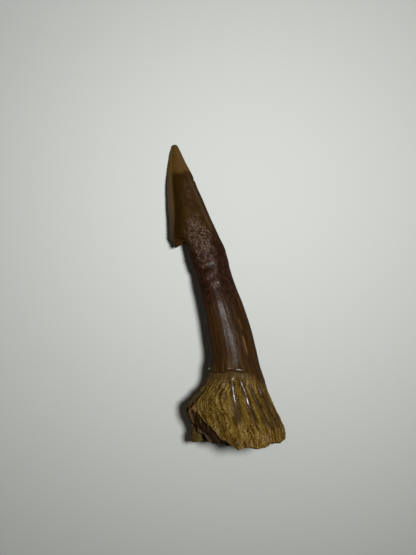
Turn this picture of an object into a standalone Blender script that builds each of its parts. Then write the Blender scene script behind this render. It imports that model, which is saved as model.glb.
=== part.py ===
# The rostral tooth of a large fossil sawfish. It grew as one piece, so it is one solid: an enamelled
# crown that ends in a blade with one barb, and a flared, folded root whose hollow base is broken away
# along one side. It lies on its flat side, resting on the root's underside and on the tip.

import math

import bmesh
import bpy
from mathutils import Matrix

MM = 0.001

# Distances run along the tooth, in millimetres, from the root's base towards the tip.
TIP = 49.4
TIP_RADIUS = 0.5
BLADE_FOOT = 33.7
CROWN_TOP = 33.3
ENAMEL_END = 12.0

# Offsets of the tooth's edges from its long axis, as (distance, offset). The front edge is smooth. The
# back edge is that of the oval body, and the blade edge is that of the thin wing behind it, from the tip
# to the barb.
FRONT_EDGE = (
    (-1.5, 7.75), (0.5, 8.0), (1.7, 7.79), (4.4, 7.08), (7.1, 6.61), (9.8, 6.31), (11.8, 6.13), (15.0, 6.11),
    (17.7, 5.96), (21.7, 5.43), (25.0, 4.9), (28.4, 4.67), (31.1, 4.4), (33.2, 3.91), (36.0, 3.23),
    (41.6, 2.08), (45.9, 1.11), (48.9, 0.3),
)
BACK_EDGE = (
    (-1.5, 6.7), (1.6, 6.8), (2.3, 6.95), (3.7, 6.4), (5.3, 6.6), (7.0, 6.8), (8.3, 5.98), (9.0, 4.68),
    (9.6, 4.05), (10.3, 2.95), (10.9, 2.5), (12.4, 1.97), (13.9, 1.4), (15.5, 1.17), (22.0, 0.91),
    (27.3, 1.05), (28.5, 1.42), (32.0, 1.6), (33.7, 1.75),
)
BLADE_EDGE = (
    (33.4, 3.72), (34.2, 3.82), (35.8, 3.65), (39.4, 3.25), (42.3, 2.83), (43.9, 2.48), (45.5, 2.03),
    (48.4, 1.1), (48.9, 0.82),
)

# The barb's lower edge, as (offset towards the blade edge, distance).
BARB_LINE = ((1.4, 33.5), (2.9, 33.55), (3.3, 33.0), (3.55, 33.4), (3.8, 34.0))

# Half of the body's thickness, how far the middle of the thickness bows up, and how far the top's crest
# lies towards the back edge, as (distance, length).
HALF_THICKNESS = (
    (-1.5, 4.6), (1.0, 4.65), (4.0, 4.07), (6.0, 3.5), (7.5, 3.33), (9.0, 3.17), (10.6, 3.0), (12.0, 2.82),
    (13.5, 2.69), (16.0, 2.55), (22.0, 2.4), (28.0, 2.15), (33.0, 1.85), (38.0, 1.4), (43.0, 0.95),
    (48.9, 0.36),
)
BOW = ((-1.5, 0.0), (12.0, 0.4), (25.0, 0.7), (37.0, 0.55), (49.4, 0.0))
CREST = ((-1.5, 0.0), (7.0, 0.2), (12.0, 0.7), (30.0, 0.75), (37.0, 0.6), (48.9, 0.1))

# On the blade the body widens until it meets the bevel, the strip that thins to the cutting edge.
BODY_SPREAD = (33.3, 34.3)
BODY_TAPER = 1.0
WING_HALF = 0.6
WING_SHARE = 0.6
EDGE_HALF = 0.12
EDGE_ROUNDING = 6
BEVEL = ((34.0, 0.45), (37.0, 0.68), (39.0, 0.86), (43.8, 0.67), (46.1, 0.42), (48.4, 0.25))
WING_FADE = (-0.3, 3.0)

# The root is squarer than the crown, most of all underneath, and folded lengthwise.
ROOT_BLEND = (9.0, 13.0)
ROOT_SQUARENESS = 2.4
UNDERSIDE_SQUARENESS = 3.3
FOLDS = 13
FOLD_DEPTH = 0.28

# The ragged rim of the hollow base, as (offset towards the back edge, distance). The upper wall is broken
# away along a slant on the back edge's side, and the lower wall reaches on beneath the break.
UPPER_RIM = (
    (-7.9, -0.6), (-6.5, -1.0), (-5.15, -0.7), (-3.95, -1.2), (-1.2, -0.5), (0.1, -0.6), (1.1, 0.55),
    (1.85, 1.2), (3.1, 2.95), (4.1, 4.35), (4.85, 5.8), (6.0, 6.85), (7.2, 7.3),
)
LOWER_RIM = (
    (-7.9, -0.1), (-5.0, -0.3), (0.0, -0.45), (1.6, -0.35), (2.5, 0.2), (4.2, 0.85), (5.8, 1.3), (7.5, 2.1),
)
RIM_TURN = (-0.04, 0.16)

# The hollow's floor, as (offset towards the back edge, distance), and the shares of the rim's width at
# which the wall turns inwards and the floor begins. Below the broken wall the floor begins further in and
# is lifted, so that the hollow is shallow there.
HOLLOW_FLOOR = ((-8.0, 2.4), (-4.0, 4.5), (0.0, 5.3), (4.0, 6.7), (7.0, 7.4))
HOLLOW_MIDDLE = 0.2
WALL_SHARE = 0.86
FLOOR_SHARE = 0.55
OPEN_FLOOR_SHARE = 0.4
OPEN_LIFT = 2.8
HOLLOW_SHARES = (0.93, 0.86, 0.77, 0.67, 0.55, 0.42, 0.28, 0.14)

# The broken wall slopes down and out from its upper edge to a ledge this wide, which stays inside the
# root's outer wall and its lower rim, and narrows to nothing where the break begins.
LEDGE = 1.75
LEDGE_RUN = (0.78, 0.62)
LEDGE_SIDE_GAP = 0.35
LEDGE_RIM_GAP = 0.25
LEDGE_FADE = (6.9, 5.2)

REST_FLAT = 0.18
TIP_RINGS = 3
BLADE_RINGS = 18
CROWN_RINGS = 15
ROOT_RINGS = 18
COLUMNS = 64
ANGLES = [math.tau * i / COLUMNS for i in range(COLUMNS)]


def mix(a, b, share):
    return a + (b - a) * share


def ease(low, high, value):
    t = min(max((value - low) / (high - low), 0.0), 1.0)
    return t * t * (3 - 2 * t)


def powered(value, power):
    return math.copysign(abs(value) ** power, value)


def along(stations, at):
    """A smooth curve through the stations, read at one distance."""
    last = len(stations) - 1
    at = min(max(at, stations[0][0]), stations[last][0])
    low = max(i for i in range(last) if stations[i][0] <= at)

    def slope(i):
        before, after = stations[max(i - 1, 0)], stations[min(i + 1, last)]
        return (after[1] - before[1]) / (after[0] - before[0])

    (x0, y0), (x1, y1) = stations[low], stations[low + 1]
    width = x1 - x0
    t = (at - x0) / width
    level = mix(y0, y1, t * t * (3 - 2 * t))
    return level + width * t * (1 - t) * ((1 - t) * slope(low) - t * slope(low + 1))


def body(distance, angle):
    """Offset and height of the surface without the wing. Angle 0 is the back edge, a quarter turn the top."""
    back, front = along(BACK_EDGE, distance), along(FRONT_EDGE, distance)
    rooted = 1 - ease(*ROOT_BLEND, distance)
    square = mix(ROOT_SQUARENESS, UNDERSIDE_SQUARENESS, ease(0.1, -0.5, math.sin(angle)))
    power = 2 / mix(2, square, rooted)
    fold = FOLD_DEPTH * rooted * (0.5 + 0.5 * math.cos(FOLDS * angle))
    wide = (back + front) / 2 - fold
    thick = along(HALF_THICKNESS, distance) - fold
    offset = (back - front) / 2 + wide * powered(math.cos(angle), power)
    offset += along(CREST, distance) * max(math.sin(angle), 0) ** 2
    return offset, along(BOW, distance) + thick * powered(math.sin(angle), power)


def blade(distance, angle):
    """The same on the blade, where the thin wing reaches further back than the body."""
    edge, front = along(BLADE_EDGE, distance), along(FRONT_EDGE, distance)
    bevel, thick = along(BEVEL, distance), along(HALF_THICKNESS, distance)
    spread = ease(*BODY_SPREAD, distance)
    wide = (mix(along(BACK_EDGE, distance), edge - bevel, spread) + front) / 2
    offset = (edge - front) / 2 + (edge + front) / 2 * math.cos(angle)
    reach = min((offset + front) / wide - 1, 1)
    if math.sin(angle) > 0:
        reach -= along(CREST, distance) / wide * (1 - reach * reach)
    taper = mix(0.5, BODY_TAPER, ease(-0.2, 0.9, reach) * spread)
    wing = mix(EDGE_HALF, min(WING_HALF, WING_SHARE * thick), ease(0, bevel, edge - offset))
    wing *= min(abs(math.sin(angle)) * EDGE_ROUNDING, 1) * ease(*WING_FADE, offset + front)
    oval = math.sqrt(thick * thick - wing * wing) * max(1 - reach * reach, 0) ** taper
    return offset, along(BOW, distance) + math.copysign(math.hypot(oval, wing), math.sin(angle))


def rim(angle):
    """The distance at which the root's wall ends, cut back where the upper wall is broken."""
    distance = 1.0
    for _ in range(4):
        offset, _ = body(distance, angle)
        upper, lower = along(UPPER_RIM, offset), along(LOWER_RIM, offset)
        distance = mix(lower, upper, ease(*RIM_TURN, math.sin(angle)))
    return distance


def tip_point(turn, angle):
    """The rounded tip: turn goes from the point itself, 0, to a quarter turn at the end of the blade."""
    end = TIP - TIP_RADIUS
    middle, _ = blade(end, math.pi / 2)
    offset, height = blade(end, angle)
    share = math.sin(turn)
    return end + TIP_RADIUS * math.cos(turn), mix(middle, offset, share), mix(along(BOW, end), height, share)


def blade_point(share, angle):
    """A point of the blade: share 0 is where the rounded tip starts and 1 is the barb's lower edge."""
    foot = along(BARB_LINE, blade(BLADE_FOOT, angle)[0])
    distance = mix(TIP - TIP_RADIUS, foot, share)
    return distance, *blade(distance, angle)


def root_point(share, angle):
    """A point of the root's outside: share 0 is where the enamel ends and 1 is the rim."""
    distance = mix(ENAMEL_END, rim(angle), share)
    return distance, *body(distance, angle)


def hollow_point(share, angle):
    """A point inside the base: share 1 is the rim and 0 the middle of the hollow's floor."""
    start = rim(angle)
    offset, height = body(start, angle)
    broken = ease(0.12, 0.35, math.sin(angle)) * ease(0.05, 0.3, math.cos(angle)) * ease(*LEDGE_FADE, start)
    offset = mix(HOLLOW_MIDDLE, offset, mix(share, 1, broken * ease(0.05, 0.35, share)))
    below = ease(0.1, -0.3, math.sin(angle)) if math.cos(angle) > 0 else 0
    floor_share = mix(FLOOR_SHARE, OPEN_FLOOR_SHARE, below)
    deep = (1 - ease(floor_share, WALL_SHARE, share)) * (1 - broken * ease(0.1, 0.4, share))
    distance = mix(start, along(HOLLOW_FLOOR, offset), deep)
    lift = ease(-0.15, 0.1, -math.sin(angle)) * mix(0.25, 1, ease(0.1, 0.6, -math.sin(angle)))
    lift *= OPEN_LIFT * ease(0, 0.35, math.cos(angle)) * ease(0.2, 0.75, share)
    lift *= max(math.sin(math.pi * share), 0) ** 0.7
    ledge = LEDGE * broken * ease(0, 0.65, 1 - share) * ease(0.05, 0.3, share)
    side = max(along(BACK_EDGE, distance) - LEDGE_SIDE_GAP, offset)
    offset = min(offset + LEDGE_RUN[0] * ledge, side)
    foot = min(along(LOWER_RIM, offset) + LEDGE_RIM_GAP, distance)
    return max(distance - LEDGE_RUN[1] * ledge, foot), offset, height * share + lift


def rings():
    """Every ring of points, from the tip, over the crown and the root, round the rim and into the hollow."""
    for i in range(1, TIP_RINGS + 1):
        turn = math.pi / 2 * i / TIP_RINGS
        yield [tip_point(turn, angle) for angle in ANGLES]
    for i in range(1, BLADE_RINGS + 1):
        yield [blade_point(i / BLADE_RINGS, angle) for angle in ANGLES]
    for i in range(CROWN_RINGS):
        distance = mix(CROWN_TOP, ENAMEL_END, i / CROWN_RINGS)
        yield [(distance, *body(distance, angle)) for angle in ANGLES]
    for i in range(ROOT_RINGS + 1):
        yield [root_point(i / ROOT_RINGS, angle) for angle in ANGLES]
    for share in HOLLOW_SHARES:
        yield [hollow_point(share, angle) for angle in ANGLES]


def extruded(bm, edges, ring):
    """Extrudes a ring's edges and returns the new edges and the new vertices in the old ring's order."""
    grown = bmesh.ops.extrude_edge_only(bm, edges=edges)["geom"]
    edges = [part for part in grown if isinstance(part, bmesh.types.BMEdge) and part.is_boundary]
    fresh = {vert for edge in edges for vert in edge.verts}
    ring = [next(edge.other_vert(v) for edge in v.link_edges if edge.other_vert(v) in fresh) for v in ring]
    return edges, ring


def tooth_mesh():
    """A capped ring at the tip, extruded down the tooth and into its base, where the last ring is filled."""
    bm = bmesh.new()
    bmesh.ops.create_circle(bm, segments=COLUMNS, radius=1, cap_ends=True)
    ring, edges = list(bm.verts), list(bm.edges)
    for number, points in enumerate(rings()):
        if number:
            edges, ring = extruded(bm, edges, ring)
        for vert, point in zip(ring, points):
            vert.co = [MM * value for value in point]
    bmesh.ops.contextual_create(bm, geom=edges)
    bmesh.ops.recalc_face_normals(bm, faces=bm.faces)
    return bm


def lowest(verts):
    return min(verts, key=lambda vert: vert.co.z).co


def lay_down(bm):
    """Turns the tooth until root and tip reach equally low."""
    root = [vert for vert in bm.verts if vert.co.x < ENAMEL_END * MM]
    tip = [vert for vert in bm.verts if vert.co.x > BLADE_FOOT * MM]
    for _ in range(4):
        a, b = lowest(root), lowest(tip)
        turn = math.atan2(b.z - a.z, b.x - a.x)
        bmesh.ops.rotate(bm, cent=(0, 0, 0), matrix=Matrix.Rotation(turn, 3, "Y"), verts=bm.verts)


def wear_flats(bm):
    """Cuts a small worn flat wherever the tooth touches the surface below it."""
    level = lowest(bm.verts).z + REST_FLAT * MM
    everything = [*bm.verts, *bm.edges, *bm.faces]
    cut = bmesh.ops.bisect_plane(
        bm, geom=everything, dist=1e-7, plane_co=(0, 0, level), plane_no=(0, 0, -1), clear_outer=True
    )
    outlines = [part for part in cut["geom_cut"] if isinstance(part, bmesh.types.BMEdge)]
    bmesh.ops.holes_fill(bm, edges=outlines, sides=0)
    bmesh.ops.recalc_face_normals(bm, faces=bm.faces)


def to_origin(bm):
    """Puts the origin at the middle of the tooth's box, on the surface that it lies on."""
    low = [min(vert.co[i] for vert in bm.verts) for i in range(3)]
    high = [max(vert.co[i] for vert in bm.verts) for i in range(3)]
    bmesh.ops.translate(bm, vec=(-(low[0] + high[0]) / 2, -(low[1] + high[1]) / 2, -low[2]), verts=bm.verts)


def fossil_material():
    material = bpy.data.materials.new("fossil_enamel_and_dentine")
    material.use_nodes = True
    shader = material.node_tree.nodes["Principled BSDF"]
    shader.inputs["Base Color"].default_value = (0.09, 0.05, 0.022, 1)
    shader.inputs["Roughness"].default_value = 0.38
    shader.inputs["Metallic"].default_value = 0
    return material


def main():
    for thing in list(bpy.data.objects):
        bpy.data.objects.remove(thing, do_unlink=True)
    bm = tooth_mesh()
    lay_down(bm)
    wear_flats(bm)
    to_origin(bm)
    mesh = bpy.data.meshes.new("rostral_tooth")
    bm.to_mesh(mesh)
    bm.free()
    mesh.materials.append(fossil_material())
    mesh.shade_smooth()
    tooth = bpy.data.objects.new("rostral_tooth", mesh)
    bpy.context.scene.collection.objects.link(tooth)


main()
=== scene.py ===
# A fossil sawfish rostral tooth on a pale table: a dark glossy crown that ends in a blade with one barb,
# and an ochre, folded root whose hollow base is broken away along one side.

import math

import bmesh
import bpy
import numpy as np
from mathutils import Matrix, Vector, noise


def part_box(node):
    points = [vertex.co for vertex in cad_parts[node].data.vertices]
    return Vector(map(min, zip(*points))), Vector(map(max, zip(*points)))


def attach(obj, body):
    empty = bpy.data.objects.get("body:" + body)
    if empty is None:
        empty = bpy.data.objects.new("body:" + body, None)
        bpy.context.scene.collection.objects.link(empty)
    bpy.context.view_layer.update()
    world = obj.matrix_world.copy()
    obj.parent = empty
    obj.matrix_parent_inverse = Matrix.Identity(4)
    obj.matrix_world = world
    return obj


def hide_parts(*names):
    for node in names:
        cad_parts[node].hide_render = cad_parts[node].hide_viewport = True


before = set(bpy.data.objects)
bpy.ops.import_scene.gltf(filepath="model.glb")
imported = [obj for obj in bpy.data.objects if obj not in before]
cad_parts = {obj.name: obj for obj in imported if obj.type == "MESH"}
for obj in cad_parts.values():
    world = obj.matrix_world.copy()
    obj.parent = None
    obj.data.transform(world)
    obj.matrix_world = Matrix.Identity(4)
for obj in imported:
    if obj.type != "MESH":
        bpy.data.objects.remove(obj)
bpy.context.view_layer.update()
mm = 0.001

# The tooth, in millimetres. "Along" runs from the broken base to the tip, "across" is + on the barb's side
# and - on the smooth front edge, and angles go round a section from the barb's side over the top.
tooth = {
    "columns": 256,
    "closerColumns": (3.5, 6.0, 4.0),  # degrees, spread, how much closer: where the rim turns back steeply
    "tip": 49.4,
    "tipRadius": 0.5,
    "frontEdge": (  # along, across
        (-1.5, 7.75), (-0.3, 7.95), (0.5, 8.0), (1.7, 7.79), (4.4, 7.08), (7.1, 6.61), (9.8, 6.31),
        (11.8, 6.13), (15.0, 6.11), (17.7, 5.96), (21.7, 5.43), (25.0, 4.9), (27.1, 4.69), (28.4, 4.67),
        (29.8, 4.5), (31.1, 4.4), (33.2, 3.91), (36.0, 3.23), (38.8, 2.67), (41.6, 2.08), (43.0, 1.87),
        (45.9, 1.11), (48.9, 0.3),
    ),
    "backEdge": (  # of the oval body alone
        (-1.5, 6.7), (1.6, 6.8), (2.3, 6.95), (3.7, 6.4), (5.3, 6.6), (7.0, 6.8), (8.3, 5.98), (9.0, 4.68),
        (9.6, 4.05), (10.3, 2.95), (10.9, 2.5), (12.4, 1.97), (13.9, 1.4), (15.5, 1.17), (18.8, 1.0),
        (22.0, 0.91), (25.3, 1.03), (27.3, 1.05), (27.9, 1.12), (28.5, 1.42), (29.2, 1.5), (32.0, 1.6),
        (33.7, 1.75), (36.0, 1.35), (38.0, 1.1), (42.5, 0.8), (45.6, 0.6), (48.9, 0.35),
    ),
    "bladeEdge": (  # the cutting edge
        (33.4, 3.72), (34.2, 3.82), (35.8, 3.65), (37.4, 3.42), (39.4, 3.25), (40.7, 3.06), (42.3, 2.83),
        (43.9, 2.48), (45.5, 2.03), (47.1, 1.54), (48.4, 1.1), (48.9, 0.82),
    ),
    "halfThickness": (
        (-1.5, 4.6), (1.0, 4.65), (4.0, 4.07), (6.0, 3.5), (7.5, 3.33), (9.0, 3.17), (10.6, 3.0),
        (12.0, 2.82), (13.5, 2.69), (16.0, 2.55), (22.0, 2.4), (28.0, 2.15), (33.0, 1.85), (38.0, 1.4),
        (43.0, 0.95), (48.9, 0.36),
    ),
    # how far the crest lies towards the barb's side, and how high the middle line bows
    "crest": ((-1.5, 0.0), (7.0, 0.2), (12.0, 0.7), (30.0, 0.75), (37.0, 0.6), (48.9, 0.1)),
    "bow": ((-1.5, 0.0), (12.0, 0.4), (25.0, 0.7), (37.0, 0.55), (49.4, 0.0)),
    "wingHalf": 0.6,  # half the thickness of the wing where its bevel starts,
    "wingShare": 0.6,  # or this share of the body's, where that is less
    "wingFade": (-0.3, 3.0),  # how far from the front edge the wing starts to thicken the body
    "oval": 0.5,  # the power of a full oval, and of one that tapers towards the wing
    "toe": 1.0,
    "toeReach": (-0.2, 0.9),
    "bodySpread": (33.3, 34.3),  # where, going up, the body widens until it meets the bevel
    "edgeHalf": 0.1,
    "edgeClose": 8,  # how quickly the wing closes round the cutting edge
    "bevel": ((34.0, 0.45), (37.0, 0.68), (39.0, 0.86), (43.8, 0.67), (46.1, 0.42), (48.4, 0.25)),
    "barbLine": (  # across, along
        (1.4, 33.5), (2.0, 33.7), (2.35, 33.6), (2.6, 33.8), (2.85, 33.5), (3.1, 33.6), (3.25, 33.2),
        (3.37, 32.6), (3.47, 33.25), (3.6, 33.85), (3.8, 34.0),
    ),
    "barbFoot": 33.3,  # where the barb's underside meets the body
    "barbRise": 0.4,  # how far above that the blade's width at the barb is taken
    "neckBlend": 2.5,  # how far below the barb the body still takes on the blade's height,
    "neckSide": (0.6, -0.6),  # on the side away from it
    "rootBlend": (9.0, 13.0),  # where, going down, the oval crown turns into the squarer root
    "rootSquareness": 2.4,
    "undersideSquareness": 3.3,
    "enamelEnd": (  # angle in degrees, along
        (0, 12.2), (26, 12.2), (44, 11.85), (63, 11.7), (79, 11.5), (91, 11.68), (99, 11.35), (114, 11.0),
        (126, 10.7), (140, 9.9), (150, 9.1), (175, 8.4), (200, 9.4), (230, 11.2), (270, 11.9), (330, 12.1),
        (360, 12.2),
    ),
    "upperRim": (  # across, along; from 1.2 on it is the broken edge
        (-7.9, -0.6), (-7.3, -0.95), (-6.5, -1.0), (-5.5, -0.65), (-5.15, -0.7), (-4.75, -1.12),
        (-3.95, -1.2), (-3.15, -1.15), (-2.6, -0.85), (-1.65, -0.75), (-1.2, -0.5), (-0.4, -0.65),
        (0.1, -0.6), (0.6, 0.05), (0.85, 0.4), (1.1, 0.55), (1.5, 1.1), (1.85, 1.2), (2.5, 2.0), (2.8, 2.65),
        (3.1, 2.95), (3.65, 3.8), (4.1, 4.35), (4.5, 5.05), (4.7, 5.45), (4.85, 5.8), (5.4, 6.35),
        (6.0, 6.85), (6.5, 7.1), (7.2, 7.3),
    ),
    "lowerRim": (  # across, along
        (-7.9, -0.1), (-5.0, -0.3), (-2.5, 0.1), (0.0, -0.45), (1.6, -0.35), (2.5, 0.2), (4.2, 0.85),
        (5.8, 1.3), (7.0, 1.75), (7.5, 2.1),
    ),
    "rimTurn": (-0.04, 0.16),  # how far up the side the lower rim gives way to the upper one
    "rimTeeth": ((19, 0.04), (31, 0.04), (47, 0.03)),  # waves round the rim, height
    "hollowFloor": ((-8.0, 2.4), (-4.0, 4.5), (0.0, 5.3), (4.0, 6.7), (7.0, 7.4)),  # across, along
    "hollowMiddle": 0.2,  # across, where the rings of the hollow close
    "wallShare": 0.86,  # the wall goes in from this share of the way out from the middle
    "floorShare": 0.55,  # and meets the floor at this one,
    "openFloorShare": 0.4,  # or at this one below the break
    "brokenTurn": (0.12, 0.35),  # how far up, and how far towards the barb's side, the wall is broken
    "brokenSide": (0.05, 0.3),
    "ledge": 1.75,  # how far the broken wall slopes out below its upper edge,
    "ledgeRun": (0.62, 0.78),  # along and across,
    "ledgeReach": (0.05, 0.3, 0.35, 1.0),  # and over which shares of the way out
    "ledgeInset": (0.35, 0.25),  # how far it stays inside the outer wall and the lower rim
    "brokenOut": (0.05, 0.35),
    "slopeOut": (0.1, 0.4),
    "openTurn": (0.1, -0.3),
    "openLift": 2.8,  # how far the floor rises where the wall above it is broken away,
    "liftTurn": (0.15, -0.1),  # from how low on the side,
    "liftWhole": (-0.1, -0.6),  # how low it rises by the whole of that,
    "liftSide": (0, 0.35),  # how far towards the barb's side, and over which shares of the way out
    "liftOut": (0.2, 0.75),
    "restFlat": 0.18,  # how deep the flats that it rests on are worn
    "rootEnd": 12,  # the root lies below this and the blade above the next one, where it is laid down
    "bladeStart": 34,
}


def mix(a, b, share):
    return a + (b - a) * share


def smooth(low, high, value):
    t = np.clip((value - low) / (high - low), 0, 1)
    return t * t * (3 - 2 * t)


def within(window, value):  # 1 between the window's middle two values, 0 outside its outer two
    return smooth(window[0], window[1], value) * smooth(window[3], window[2], value)


def bell(value, middle, width):
    return np.exp(-(((value - middle) / width) ** 2))


def through(points, at):  # a smooth curve through the points, read at each place
    places, levels = np.array(points, float).T
    slopes = np.gradient(levels, places)
    at = np.clip(at, places[0], places[-1])
    i = np.clip(np.searchsorted(places, at, side="right") - 1, 0, len(places) - 2)
    width = places[i + 1] - places[i]
    t = (at - places[i]) / width
    level = mix(levels[i], levels[i + 1], t * t * (3 - 2 * t))
    return level + width * t * (1 - t) * ((1 - t) * slopes[i] - t * slopes[i + 1])


def powered(value, power):
    return np.sign(value) * np.abs(value) ** power


def bodySection(along, angle):  # the oval body: across and up
    back, front = through(tooth["backEdge"], along), through(tooth["frontEdge"], along)
    rooted = 1 - smooth(*tooth["rootBlend"], along)
    square = mix(tooth["rootSquareness"], tooth["undersideSquareness"], smooth(0.1, -0.5, np.sin(angle)))
    power = 2 / mix(2, square, rooted)
    across = (back - front) / 2 + (back + front) / 2 * powered(np.cos(angle), power)
    across = across + through(tooth["crest"], along) * np.clip(np.sin(angle), 0, 1) ** 2
    up = through(tooth["halfThickness"], along) * powered(np.sin(angle), power)
    return across, through(tooth["bow"], along) + up


def bladeHeight(along, across, angle):  # the oval body with the thin bevelled wing behind it
    back, front = through(tooth["backEdge"], along), through(tooth["frontEdge"], along)
    edge, thick = through(tooth["bladeEdge"], along), through(tooth["halfThickness"], along)
    bevel = through(tooth["bevel"], along)
    back = mix(back, edge - bevel, smooth(*tooth["bodySpread"], along))
    reach = np.clip((2 * across - back + front) / (back + front), -1, 1)
    crest = 2 * through(tooth["crest"], along) / (back + front) * (np.sin(angle) > 0)
    reach = reach - crest * (1 - reach * reach)  # the body's crest lies towards the barb's side
    tapers = smooth(*tooth["toeReach"], reach) * smooth(*tooth["bodySpread"], along)
    toe = mix(tooth["oval"], tooth["toe"], tapers)
    oval = thick * (1 - reach * reach) ** toe
    share = np.clip((edge - across) / bevel, 0, 1)
    wing = mix(tooth["edgeHalf"], np.minimum(tooth["wingHalf"], tooth["wingShare"] * thick), share)
    wing = wing * np.minimum(np.abs(np.sin(angle)) * tooth["edgeClose"], 1)
    wing = wing * smooth(*tooth["wingFade"], across + front)
    body = oval * np.sqrt(np.clip(1 - (wing / thick) ** 2, 0, 1))  # it runs out softly into the wing
    return through(tooth["bow"], along) + np.hypot(body, wing) * np.sign(np.sin(angle))


def bladeSection(along, angle):
    edge, front = through(tooth["bladeEdge"], along), through(tooth["frontEdge"], along)
    across = (edge - front) / 2 + (edge + front) / 2 * np.cos(angle)
    return across, bladeHeight(along, across, angle)


def tipRing(share, angle):
    end = tooth["tip"] - tooth["tipRadius"]
    turn = math.pi / 2 * share
    middle = bladeSection(end, np.array([math.pi / 2]))[0]
    across, up = bladeSection(end, angle)
    along = end + tooth["tipRadius"] * math.cos(turn)
    bow = through(tooth["bow"], end)
    return along, mix(middle, across, math.sin(turn)), mix(bow, up, math.sin(turn))


def barbLine(angle):
    across, _ = bladeSection(tooth["barbFoot"] + tooth["barbRise"], angle)
    return through(tooth["barbLine"], across)


def bladeRing(share, angle):
    along = mix(tooth["tip"] - tooth["tipRadius"], barbLine(angle), share)
    return along, *bladeSection(along, angle)


def barbRing(share, angle):  # the barb's underside, from the blade's last ring in to the body
    start, end = np.broadcast_arrays(*bladeRing(1, angle)), crownRing(0, angle)
    return tuple(mix(a, b, share) for a, b in zip(start, end))


def enamelEnd(angle):
    return through(tooth["enamelEnd"], np.degrees(angle) % 360)


def crownRing(share, angle):  # on the side away from the barb it joins the blade without a step
    along = mix(tooth["barbFoot"], enamelEnd(angle), share)
    across, up = bodySection(along, angle)
    near = smooth(tooth["barbFoot"] - tooth["neckBlend"], tooth["barbFoot"], along)
    near = near * smooth(*tooth["neckSide"], across)
    return along, across, mix(up, bladeHeight(along, across, angle), near)


def rim(angle):  # where the wall of the root ends, cut back where the upper wall is broken
    along = np.ones_like(angle)
    ragged = sum(size * np.sin(count * angle + count) for count, size in tooth["rimTeeth"])
    for _ in range(4):
        across, _ = bodySection(along, angle)
        upper, lower = through(tooth["upperRim"], across), through(tooth["lowerRim"], across)
        along = mix(lower, upper, smooth(*tooth["rimTurn"], np.sin(angle))) + ragged
    return along


def rootRing(share, angle):
    along = mix(enamelEnd(angle), rim(angle), share)
    return along, *bodySection(along, angle)


def hollowRing(share, angle):  # from the rim, share 0, to the middle of the hollow's floor, share 1
    out = 1 - share
    start = rim(angle)
    across, up = bodySection(start, angle)
    broken = smooth(*tooth["brokenTurn"], np.sin(angle)) * smooth(*tooth["brokenSide"], np.cos(angle))
    across = mix(tooth["hollowMiddle"], across, mix(out, 1, broken * smooth(*tooth["brokenOut"], out)))
    opened = np.where(np.cos(angle) > 0, smooth(*tooth["openTurn"], np.sin(angle)), 0)
    floorShare = mix(tooth["floorShare"], tooth["openFloorShare"], opened)
    deep = 1 - smooth(floorShare, tooth["wallShare"], out)
    lift = 0.25 + 0.75 * smooth(*tooth["liftWhole"], np.sin(angle))
    lift = lift * smooth(*tooth["liftTurn"], np.sin(angle)) * smooth(*tooth["liftSide"], np.cos(angle))
    lift = lift * max(math.sin(math.pi * out), 0) ** 0.7 * smooth(*tooth["liftOut"], out)
    up = up * out + tooth["openLift"] * lift
    deep = deep * (1 - broken * smooth(*tooth["slopeOut"], out))
    along = mix(start, through(tooth["hollowFloor"], across), deep)
    ledge = tooth["ledge"] * broken * within(tooth["ledgeReach"], out)
    runAlong, runAcross = tooth["ledgeRun"]
    inSide, inRim = tooth["ledgeInset"]
    side = np.maximum(through(tooth["backEdge"], along) - inSide, across)
    across = np.minimum(across + runAcross * ledge, side)
    foot = np.minimum(through(tooth["lowerRim"], across) + inRim, along)
    return np.maximum(along - runAlong * ledge, foot), across, up


# Each stretch of the surface: how many rings it has, how closely they crowd its start or its end, and the
# function that places one.
stretches = (
    ("tip", 8, 1.0, 1.0, tipRing),
    ("blade", 95, 1.0, 1.0, bladeRing),
    ("barb", 8, 1.0, 1.0, barbRing),
    ("crown", 128, 1.0, 1.15, crownRing),
    ("root", 88, 1.15, 1.0, rootRing),
    ("hollow", 52, 1.0, 1.0, hollowRing),
)


def columnAngles():
    middle, spread, closer = tooth["closerColumns"]
    fine = np.linspace(0, 360, 7201)
    crowd = np.cumsum(1 + closer * bell((fine - middle + 180) % 360 - 180, 0, spread))
    even = np.linspace(crowd[0], crowd[-1], tooth["columns"] + 1)
    return np.radians(np.interp(even, crowd, fine))


def toothSheet():  # a flat sheet rolled into the tooth, merged at its seam and at the point of each end
    angle = columnAngles()
    places, inside = [], []
    for name, count, crowdStart, crowdEnd, ring in stretches:
        for i in range(0 if name == "tip" else 1, count + 1):
            share = 1 - (1 - (i / count) ** crowdStart) ** crowdEnd
            places.append(np.stack(np.broadcast_arrays(*ring(share, angle)), axis=-1))
            inside.append(name == "hollow")
    last = len(places) - 1
    bm = bmesh.new()
    bmesh.ops.create_grid(bm, x_segments=last, y_segments=tooth["columns"], size=1)
    layers = {name: bm.verts.layers.float.new(name) for name in ("along", "turn", "hollow")}
    for vert in bm.verts:
        ring = round((vert.co.x + 1) / 2 * last)
        column = round((vert.co.y + 1) / 2 * tooth["columns"])
        vert.co = places[ring][column] * mm
        vert[layers["along"]] = places[ring][column][0]
        vert[layers["turn"]] = angle[column % tooth["columns"]]
        vert[layers["hollow"]] = inside[ring]
    bmesh.ops.remove_doubles(bm, verts=bm.verts, dist=1e-7)
    bmesh.ops.recalc_face_normals(bm, faces=bm.faces)
    return bm


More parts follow.
